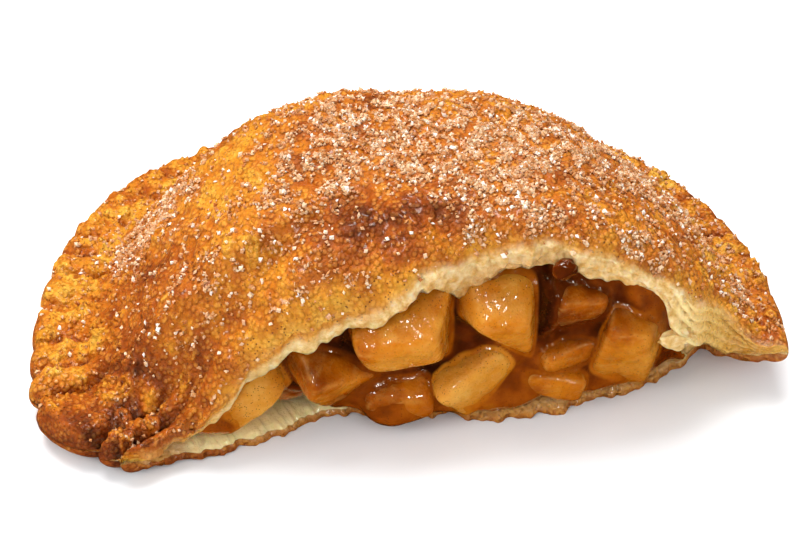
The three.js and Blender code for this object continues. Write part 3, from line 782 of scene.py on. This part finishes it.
def joined(a, b, reach):
    """Smaller of two fields, with a fillet where they are within reach of each other."""
    near = maximum(reach - abs(a - b), 0) / reach
    return minimum(a, b) - near * near * reach / 4


def sauce_field(p, front, without=0):
    """Below zero inside the sauce: the front wall, the chunks a little shrunken and the pools.
    One chunk may be left out."""
    field = front - p[..., 1]
    for number, _ in enumerate(CHUNKS, 1):
        if number != without:
            field = joined(field, above_chunk(p, number) + CHUNK_PROUD, SAUCE_BLEND)
    for at, half in SAUCE_POOLS:
        q = (p - array(at)) / array(half)
        r = norm(q)
        field = joined(field, (r - 1) * r / maximum(norm(q / array(half)), 1e-6), SAUCE_BLEND)
    return field


def sauce(name, count=300, fine=84):
    """Filling between the chunks: front rows found by marching back along Y to the field's zero,
    closed through the hollow of the pastry."""
    s = stations(linspace(FILLING_FROM - 0.01, FILLING_TO, count))
    share = linspace(0, 1, fine)
    x = s.x[:, None] + 0 * share
    spill = clip(sum(smooth(1.15 - abs(s.x - m) / w) for m, w in SAUCE_SPILLS), 0, 1)
    low = mix(floor_at(s.x, s.torn_base[:, 1] + 1) - 0.1, 0.35, spill)
    high = roof_at(s.x, s.torn_lip[:, 1] + 2.5)
    front = sauce_front(x, share)
    for _ in range(2):
        z = mix(low[:, None], high[:, None], share)
        y = np.full_like(x, -30)
        for _ in range(26):
            step = sauce_field(stack([x, y, z], -1), front)
            y = minimum(y + clip(step, -0.8, 1.6) * 0.8, front + 3)
        high = roof_at(s.x, y[:, -1]) + 0.25
    y += 0.1 * uneven(stack([x, y, z], -1), 3, 81)
    roof_rows = lifted(along(s.lip, s.seam, [0.25, 0.4, 0.55, 0.75, 0.9]), roof_at, -0.8)
    floor_rows = lifted(along(s.base, s.seam, [0.9, 0.5, 0.25]), floor_at, 0.3)
    rings = concatenate([stack([x, y, z], -1), roof_rows, floor_rows], 1)
    # rounded off towards both ends
    centre = rings.mean(1, keepdims=True)
    from_end = minimum(arange(count), count - 1 - arange(count))
    rings = mix(centre, rings, np.sqrt(clip((from_end + 1.5) / 20, 0, 1))[:, None, None])
    piece = ring_mesh(name, rings, centre[0, 0], centre[-1, 0])

    # painted shade: how far the sauce lies behind what is round it, from the mean of its neighbours, and a
    # dark column between two chunks; the finish paints the sauce darker the further back it lies
    around = y
    for shift in (4, 8, 12):
        around = (around + np.roll(around, shift, 0) + np.roll(around, -shift, 0)
                  + np.roll(around, shift // 2, 1) + np.roll(around, -shift // 2, 1)) / 5
    hollow = (clip((y - around) / 2, -0.1, 1)
              + 0.9 * swell((x - 22.6) / 2.8) * smooth((z - 15) / 4) * smooth((33 - z) / 3))
    cover, tone = np.zeros_like(x), np.zeros_like(x)
    for number, (*_, dark) in enumerate(CHUNKS, 1):
        near = swell(maximum(above_chunk(rings[:, :fine], number), 0))
        tone = where(near > cover, dark, tone)
        cover = maximum(cover, near)
    rest = rings.shape[1] - fine
    paint(piece, **{key: bands((fine, value), (rest, 0), rows=count)
                    for key, value in (("deep", hollow), ("fruit", cover), ("tone", tone))})
    return piece


# -------- sugar

SUGAR_GRAINS = 18500
GRAIN_SIZES = (0.36, 0.8)
GRAIN = 0.6 * np.repeat(np.eye(3), 2, axis=0) * array([[1], [-1]] * 3)
GRAIN_FACES = array([[0, 2, 4], [2, 1, 4], [1, 3, 4], [3, 0, 4],
                     [2, 0, 5], [1, 2, 5], [3, 1, 5], [0, 3, 5]])


def random_turns(draw, count):
    """Turning matrices from random unit quaternions: 1 + 2 w K + 2 K K, where w is the first
    number and K the matrix that takes the cross product with the other three."""
    q = draw.normal(size=(count, 4))
    w, x, y, z = (q / norm(q)[:, None]).T
    k = stack([0 * w, -z, y, z, 0 * w, -x, -y, x, 0 * w], -1).reshape(-1, 3, 3)
    return np.eye(3) + 2 * (w[:, None, None] * k + k @ k)


def grains_at(name, spots, normals, sizes, seed):
    """Sugar crystals as one mesh: uneven eight-sided grains, each turned at random and set on its
    spot of the surface."""
    draw = np.random.default_rng(seed)
    count, corners = len(spots), len(GRAIN)
    shape = GRAIN * (1 + draw.normal(scale=0.25, size=(count, 1, 3)))
    shape += draw.normal(scale=0.1, size=(count, corners, 3))
    shape = np.einsum("nij,nkj->nki", random_turns(draw, count), shape) * sizes[:, None, None]
    points = shape + (spots + normals * (sizes * 0.3)[:, None])[:, None]
    faces = (GRAIN_FACES + corners * arange(count)[:, None, None]).reshape(-1, 3)
    return make_mesh(name, points.reshape(-1, 3), [faces], flat=True)


def spots_on(grid, weight, count, seed):
    """Random spots on a grid of points, drawn by area times weight, and the normals there."""
    draw = np.random.default_rng(seed)
    a, b, c, d = grid[:-1, :-1], grid[1:, :-1], grid[1:, 1:], grid[:-1, 1:]
    cross = np.cross(c - a, d - b)
    area = norm(cross) / 2
    chance = (area * (weight[:-1, :-1] + weight[1:, 1:]) / 2).ravel()
    cell = draw.choice(chance.size, size=count, p=chance / chance.sum())
    s, t = draw.uniform(size=(2, count, 1))
    a, b, c, d = (v.reshape(-1, 3)[cell] for v in (a, b, c, d))
    normal = (cross / maximum(2 * area, 1e-9)[..., None]).reshape(-1, 3)[cell]
    normal *= where(normal[:, 2:3] < -0.2, -1, 1) * np.sign(np.median(cross[..., 2]))
    return mix(mix(a, b, s), mix(d, c, s), t), normal


# -------- finishes


def colour(hex_code):
    """Linear colour from its usual six-figure code."""
    c = array([int(hex_code[i:i + 2], 16) for i in (0, 2, 4)]) / 255
    c = where(c <= 0.04045, c / 12.92, ((c + 0.055) / 1.055) ** 2.4)
    return (*c, 1)


class Finish:
    """A material's node tree, with short calls for the nodes that the finishes use."""

    def __init__(self, name, **sockets):
        self.material = bpy.data.materials.new(name)
        self.material.use_nodes = True
        self.tree = self.material.node_tree
        self.tree.nodes.clear()
        self.shader = self.node("ShaderNodeBsdfPrincipled")
        self.node("ShaderNodeOutputMaterial", {"Surface": self.shader.outputs[0]})
        self.place = self.node("ShaderNodeTexCoord").outputs["Object"]
        self.shade(**sockets)

    def node(self, kind, inputs=None, **settings):
        """New node with its settings and its inputs, which are outputs or plain values."""
        node = self.tree.nodes.new(kind)
        for key, value in settings.items():
            setattr(node, key, value)
        for key, value in (inputs or {}).items():
            self.put(node.inputs[key], value)
        return node

    def put(self, socket, value):
        """Links an output to a socket, or sets a plain value or a colour's code on it."""
        if isinstance(value, bpy.types.NodeSocket):
            self.tree.links.new(value, socket)
        else:
            socket.default_value = colour(value) if isinstance(value, str) else value

    def shade(self, **sockets):
        """The shader's own sockets, with _ for a space in their names."""
        for name, value in sockets.items():
            self.put(self.shader.inputs[name.replace("_", " ")], value)

    def reads(self, name):
        """A number painted on the mesh."""
        return self.node("ShaderNodeAttribute", attribute_name=name).outputs["Fac"]

    def stretched(self, stretch, turn):
        """Places on the object, stretched and turned."""
        inputs = {"Vector": self.place, "Scale": stretch, "Rotation": turn}
        return self.node("ShaderNodeMapping", inputs).outputs[0]

    def noise(self, size, detail=3, roughness=0.55, place=None):
        """Noise of a size in millimetres."""
        inputs = {"Vector": place or self.place, "Scale": 1000 / size, "Detail": detail,
                  "Roughness": roughness}
        return self.node("ShaderNodeTexNoise", inputs).outputs["Fac"]

    def cells(self, size):
        """Cells of a size in millimetres."""
        return self.node("ShaderNodeTexVoronoi", {"Vector": self.place, "Scale": 1000 / size})

    def maths(self, operation, a, b, clamp=False):
        return self.node("ShaderNodeMath", {0: a, 1: b}, operation=operation, use_clamp=clamp).outputs[0]

    def plus(self, a, b, clamp=False):
        return self.maths("ADD", a, b, clamp)

    def times(self, a, b):
        return self.maths("MULTIPLY", a, b)

    def between(self, value, low, high, to_low=0, to_high=1):
        """Soft step of a value from one range to another."""
        inputs = {"Value": value, "From Min": low, "From Max": high, "To Min": to_low,
                  "To Max": to_high}
        return self.node("ShaderNodeMapRange", inputs, interpolation_type="SMOOTHSTEP").outputs[0]

    def ramp(self, value, stops):
        """Colours at their places along a value."""
        node = self.node("ShaderNodeValToRGB", {0: value})
        while len(node.color_ramp.elements) < len(stops):
            node.color_ramp.elements.new(0.5)
        for element, (position, code) in zip(node.color_ramp.elements, stops.items()):
            element.position = position
            element.color = colour(code)
        return node.outputs["Color"]

    def blend(self, share, a, b):
        """Colour b over colour a, by a share."""
        return self.node("ShaderNodeMix", {"Factor": share, 6: a, 7: b}, data_type="RGBA").outputs[2]

    def bump(self, height, depth, normal=None):
        """Bump of a depth in millimetres, over another one."""
        inputs = {"Height": height, "Distance": depth * 0.001}
        if normal:
            inputs["Normal"] = normal
        return self.node("ShaderNodeBump", inputs).outputs["Normal"]

    def cinnamon(self, size, share):
        """Round specks: the middles of those cells whose own random value is above the share."""
        spots = self.cells(size)
        near = self.between(spots.outputs["Distance"], 0.48, 0.36)
        chosen = self.between(spots.outputs["Color"], share, share + 0.04)
        return self.times(self.times(near, chosen), self.between(self.noise(9, 2), 0.36, 0.6, 0.3, 0.9))

    def glints(self, depth):
        """Ripples of the wet film, in patches, that break the lamps' reflections into glints."""
        patchy = self.between(self.noise(4.5, 3), 0.42, 0.6, 0.2, 1)
        return self.bump(self.times(self.noise(2.4, 1, 0.5), patchy), 0.34,
                         self.bump(self.noise(2.2, 2, 0.5), depth))


SKIN_TONES = {0: "E0A83C", 0.22: "D38A22", 0.42: "BE6A14", 0.6: "A6500F", 0.78: "7E360C", 1: "481C08"}
CRUMB_TONES = {0.28: "B88440", 0.42: "D8AE66", 0.56: "EED29A", 0.78: "FAEECC"}
DAMP_TONES = {0.3: "B08040", 0.5: "D2AE70", 0.7: "F0DCB0"}
FLESH_TONES = {0: "E0A44A", 0.22: "D28C2E", 0.42: "C47414", 0.6: "AE5A06", 0.8: "8A3E02", 1: "5C2202"}
SYRUP_TONES = {0.2: "B8700E", 0.42: "A04E08", 0.58: "843A04", 0.78: "5E2202", 1: "321002"}
SUGAR_TONES = {0: "B26C34", 0.35: "C48A58", 0.7: "D6A880", 0.9: "E6C8A6", 1: "FFF8F0"}


def crust_finish():
    """Baked skin, torn crumb and wet inside, told apart by the numbers painted on the mesh."""
    f = Finish("baked_crust", Subsurface_Radius=(0.9, 0.45, 0.18), Subsurface_Scale=0.0016,
               Specular_IOR_Level=0.3, Specular_Tint=(1, 0.84, 0.62, 1), IOR=1.45,
               Coat_IOR=1.4, Coat_Roughness=0.14)
    torn, wet, sweet, bake = (f.reads(name) for name in ("torn", "wet", "sugar", "bake"))
    mottle = f.plus(f.times(f.noise(2.6, 5, 0.65), 0.56), f.times(f.noise(0.8, 3, 0.6), 0.24))
    tone = f.plus(bake, f.plus(mottle, -0.4))
    skin = f.ramp(tone, SKIN_TONES)
    # small bubbles fried into the skin, with a painted highlight on their tops and painted shade between
    # them
    bubble_top = f.between(f.cells(1.05).outputs["Distance"], 0.8, 0.22)
    some = f.between(f.noise(4.5, 3), 0.38, 0.58, 0.35, 1)
    pale = f.times(f.between(bubble_top, 0.55, 1), f.between(tone, 0.85, 0.45, 0.08, 0.34))
    skin = f.blend(f.times(pale, some), skin, "E8A948")
    skin = f.blend(f.times(f.between(bubble_top, 0.3, 0, 0, 0.24), some), skin, "74300A")
    skin = f.blend(f.cinnamon(0.4, 0.76), skin, "64300E")
    # melted sugar film
    film = f.times(sweet, f.between(f.noise(0.8, 3, 0.6), 0.42, 0.58, 0, 0.38))
    skin = f.blend(film, skin, "CA8850")
    crumb = f.ramp(f.noise(2, 5, 0.66), CRUMB_TONES)
    damp = f.ramp(f.noise(2, 4, 0.6, f.stretched((0.16, 1, 1), (0, 0, 0.1))), DAMP_TONES)
    inside = f.blend(f.times(wet, 0.85), crumb, damp)
    # painted light: the inside painted paler where its bake is near 0, as on the floor under the lip
    inside = f.blend(f.between(bake, 0.08, 0, 0, 0.8), inside, "FFE8A8")
    rough = f.plus(f.times(f.noise(1.6, 3), 0.34), 0.22)
    grain = f.bump(f.noise(0.3, 2, 0.6), 0.06, f.bump(f.noise(0.9, 4, 0.62), 0.24))
    grain = f.bump(f.times(bubble_top, f.maths("SUBTRACT", 1, torn)), 0.42, grain)
    f.shade(Base_Color=f.blend(torn, skin, inside),
            Roughness=f.plus(rough, f.times(wet, -0.24), clamp=True),
            Subsurface_Weight=f.plus(f.times(torn, 0.35), 0.1),
            Coat_Weight=f.plus(f.times(wet, 0.7), 0.3, clamp=True),
            Normal=f.bump(f.noise(2.4, 3, 0.55), 0.34, grain))
    return f.material


def sugar_finish():
    """Sugar grains, each in its own shade from amber to white."""
    f = Finish("sugar_grains", Roughness=0.24, IOR=1.5, Specular_IOR_Level=0.5,
               Subsurface_Weight=0.3, Subsurface_Radius=(1, 0.6, 0.35), Subsurface_Scale=0.0006)
    f.shade(Base_Color=f.ramp(f.reads("grain"), SUGAR_TONES))
    return f.material


def flesh_colour(f, dark):
    """Amber of stewed fruit, in uneven patches, browner where it is painted or given dark."""
    patchy = f.times(f.noise(7, 4, 0.6), 0.9)
    return f.ramp(f.plus(f.plus(patchy, -0.42), dark), FLESH_TONES)


def fruit_finish(name, dark):
    """Stewed fruit: clear amber flesh, brown where sauce soaks in and where painted shade darkens it,
    paler edges as painted highlight, and cinnamon.
    """
    f = Finish(name, Subsurface_Weight=0.35, Subsurface_Radius=(1, 0.45, 0.12),
               Subsurface_Scale=0.003, Coat_Weight=0.8, Coat_Roughness=0.06, Coat_IOR=1.45,
               IOR=1.42, Specular_IOR_Level=0.2, Specular_Tint=(1, 0.85, 0.6, 1))
    # browner where sauce soaks in and with painted shade
    flesh = flesh_colour(f, f.plus(f.times(f.reads("soaked"), 0.34), dark))
    threads = f.noise(1.1, 3, 0.6, f.stretched((0.3, 0.3, 1), (0.4, 0.2, 0)))
    flesh = f.blend(f.between(threads, 0.5, 0.75, 0, 0.2), flesh, "E0B060")
    # painted highlight: the cut edges paler, in patches
    painted_edge_highlight = f.times(f.reads("edge"), f.between(f.noise(3, 3), 0.4, 0.65, 0, 0.26))
    flesh = f.blend(painted_edge_highlight, flesh, "E0AA50")
    skin = f.bump(f.noise(0.5, 3, 0.6), 0.12, f.bump(f.noise(1.8, 3, 0.6), 0.22))
    f.shade(Base_Color=f.blend(f.cinnamon(0.3, 0.74), flesh, "744414"),
            Roughness=f.between(f.noise(2.2, 3), 0.3, 0.7, 0.16, 0.4),
            Coat_Normal=f.glints(0.1), Normal=f.bump(threads, 0.08, skin))
    return f.material


def sauce_finish():
    """Caramel sauce: deep amber, lighter where it stands forward and darker where it lies back, as painted
    shade; glossy, with spice in it.
    """
    f = Finish("caramel_sauce", Subsurface_Weight=0.2, Subsurface_Radius=(1, 0.3, 0.06),
               Subsurface_Scale=0.003, Coat_Weight=0.9, Coat_Roughness=0.05, Coat_IOR=1.45,
               Roughness=0.2, IOR=1.45, Specular_IOR_Level=0.25, Specular_Tint=(1, 0.8, 0.5, 1))
    body = f.plus(f.times(f.noise(6, 4, 0.6), 0.8), 0.12)
    # painted shade: the syrup darker where the sauce lies back
    syrup = f.ramp(f.plus(body, f.times(f.reads("deep"), 0.5)), SYRUP_TONES)
    flesh = flesh_colour(f, f.plus(f.reads("tone"), 0.34))
    tone = f.blend(f.between(f.reads("fruit"), 0.45, 0.95), syrup, flesh)
    f.shade(Base_Color=f.blend(f.cinnamon(0.3, 0.76), tone, "5A2A0A"),
            Normal=f.bump(f.noise(2.2, 3, 0.6), 0.34), Coat_Normal=f.glints(0.2))
    return f.material


# -------- the pastry


def dress(piece, material, slot, *nodes):
    """Material, body and replaced nodes of a piece; the slot is not used."""
    piece.data.materials.append(material)
    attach(piece, "root")
    if nodes:
        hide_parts(*nodes)
    return piece


def build_pastry():
    """Every piece, and sugar by area where the skin is sweet, in clumps."""
    crust, syrup = crust_finish(), sauce_finish()
    top, skin, sweet, depth = crust_top("crust_top")
    dress(top, crust, "crust", "crust")
    dress(crust_bottom("crust_bottom"), crust, "crust")
    dress(sauce("caramel_filling"), syrup, "sauce", "filling")
    # the drop gets the darker syrup of the sauce's painted shade
    drop = lump("sauce_drop", (24.4, -22.3, 35.2), (2.3, 1.5, 2.1), 0.06, deep=0.7)
    dress(drop, syrup, "sauce")
    curl = lump("crumb_curl", (45.6, -24.9, 17), (3.2, 1.3, 2), 0.22, torn=0.9, bake=0.12, wet=0.2)
    dress(curl, crust, "crust")
    for number, (*_, dark) in enumerate(CHUNKS, 1):
        flesh = fruit_finish("fruit_flesh_%d" % number, dark)
        piece = chunk("fruit_chunk_%d_flesh" % number, number)
        dress(piece, flesh, "fruit", "fruit_chunk_%d" % number)
    draw = np.random.default_rng(9)
    clumps = clip(0.45 + 1.2 * uneven(skin, 2.8, 93), 0.03, 1.8)
    weight = (0.012 + sweet ** 1.5) * smooth(depth / 2) * clumps
    spots, normals = spots_on(skin, weight, SUGAR_GRAINS, 91)
    sizes = draw.uniform(*GRAIN_SIZES, SUGAR_GRAINS)
    grains = grains_at("sugar_crystals", spots, normals, sizes, 92)
    paint(grains, grain=np.repeat(draw.uniform(size=SUGAR_GRAINS), len(GRAIN)))
    dress(grains, sugar_finish(), "crust")


# Soft boxes: place, height that they face, size, watts and tint. The sparks, which make the
# glints, have only a place, a size and watts.
SOFT_BOXES = {
    "top_softbox": ((-0.05, 0.3, 0.62), 0.02, (0.55, 0.4), 6.6, (1, 0.985, 0.96)),
    "left_softbox": ((-0.6, -0.15, 0.4), 0.02, (0.4, 0.4), 2.2, (1, 0.98, 0.95)),
    "front_fill": ((0.25, -0.6, 0.45), 0.01, (0.5, 0.4), 1.1, (1, 0.99, 0.98))}
SPARKS = [((0.03, 0.02, 0.62), (0.13, 0.08), 1.3), ((-0.3, -0.16, 0.5), (0.09, 0.09), 1),
          ((0.2, -0.42, 0.4), (0.07, 0.07), 0.6), ((0.1, 0.34, 0.56), (0.1, 0.08), 1)]
CAMERA_LENS = 100
CAMERA_TURN, CAMERA_HEIGHT = radians(-11), radians(42)
CAMERA_DISTANCE = 0.44
LOOKED_AT = (0.0046, 0.0057, 0)


def lamp(name, place, facing, size, watts, tint, mirrored=False):
    """Lamp that either lights the pastry without a reflection or only makes reflections."""
    light = bpy.data.lights.new(name, "AREA")
    light.shape = "RECTANGLE"
    light.size, light.size_y = size
    light.energy = watts
    light.color = tint
    thing = placed(name, light)
    thing.location = place
    thing.visible_glossy = mirrored
    thing.visible_diffuse = not mirrored
    way = Vector((0, 0, facing)) - Vector(place)
    thing.rotation_euler = way.to_track_quat("-Z", "Y").to_euler()


def build_stage():
    """Pale floor, soft light from above and behind, and the camera."""
    bpy.ops.mesh.primitive_plane_add(size=6, location=(0, 0, 0))
    floor = bpy.context.object
    floor.name = "floor"
    f = Finish("pale_floor", Roughness=0.6, Specular_IOR_Level=0.15, Base_Color=(0.915, 0.935, 0.965, 1))
    floor.data.materials.append(f.material)
    floor.visible_glossy = False
    scene = bpy.context.scene
    scene.world = bpy.data.worlds.new("soft_room")
    scene.world.use_nodes = True
    background = scene.world.node_tree.nodes["Background"]
    background.inputs[0].default_value = (1, 0.99, 0.98, 1)
    background.inputs[1].default_value = 0.66
    scene.world.cycles_visibility.glossy = False
    for name, box in SOFT_BOXES.items():
        lamp(name, *box)
    for number, (place, size, watts) in enumerate(SPARKS, 1):
        lamp("spark_%d" % number, place, 0.02, size, watts, (1, 1, 0.98), mirrored=True)

    camera = bpy.data.cameras.new("camera")
    camera.lens = CAMERA_LENS
    camera.sensor_width = 36
    camera.clip_start, camera.clip_end = 0.01, 20
    scene.camera = placed("camera", camera)
    back = Vector((sin(CAMERA_TURN) * cos(CAMERA_HEIGHT), -cos(CAMERA_TURN) * cos(CAMERA_HEIGHT),
                   sin(CAMERA_HEIGHT)))
    scene.camera.location = Vector(LOOKED_AT) + back * CAMERA_DISTANCE
    scene.camera.rotation_euler = back.to_track_quat("Z", "Y").to_euler()
    scene.view_settings.view_transform = "Standard"


build_pastry()
build_stage()
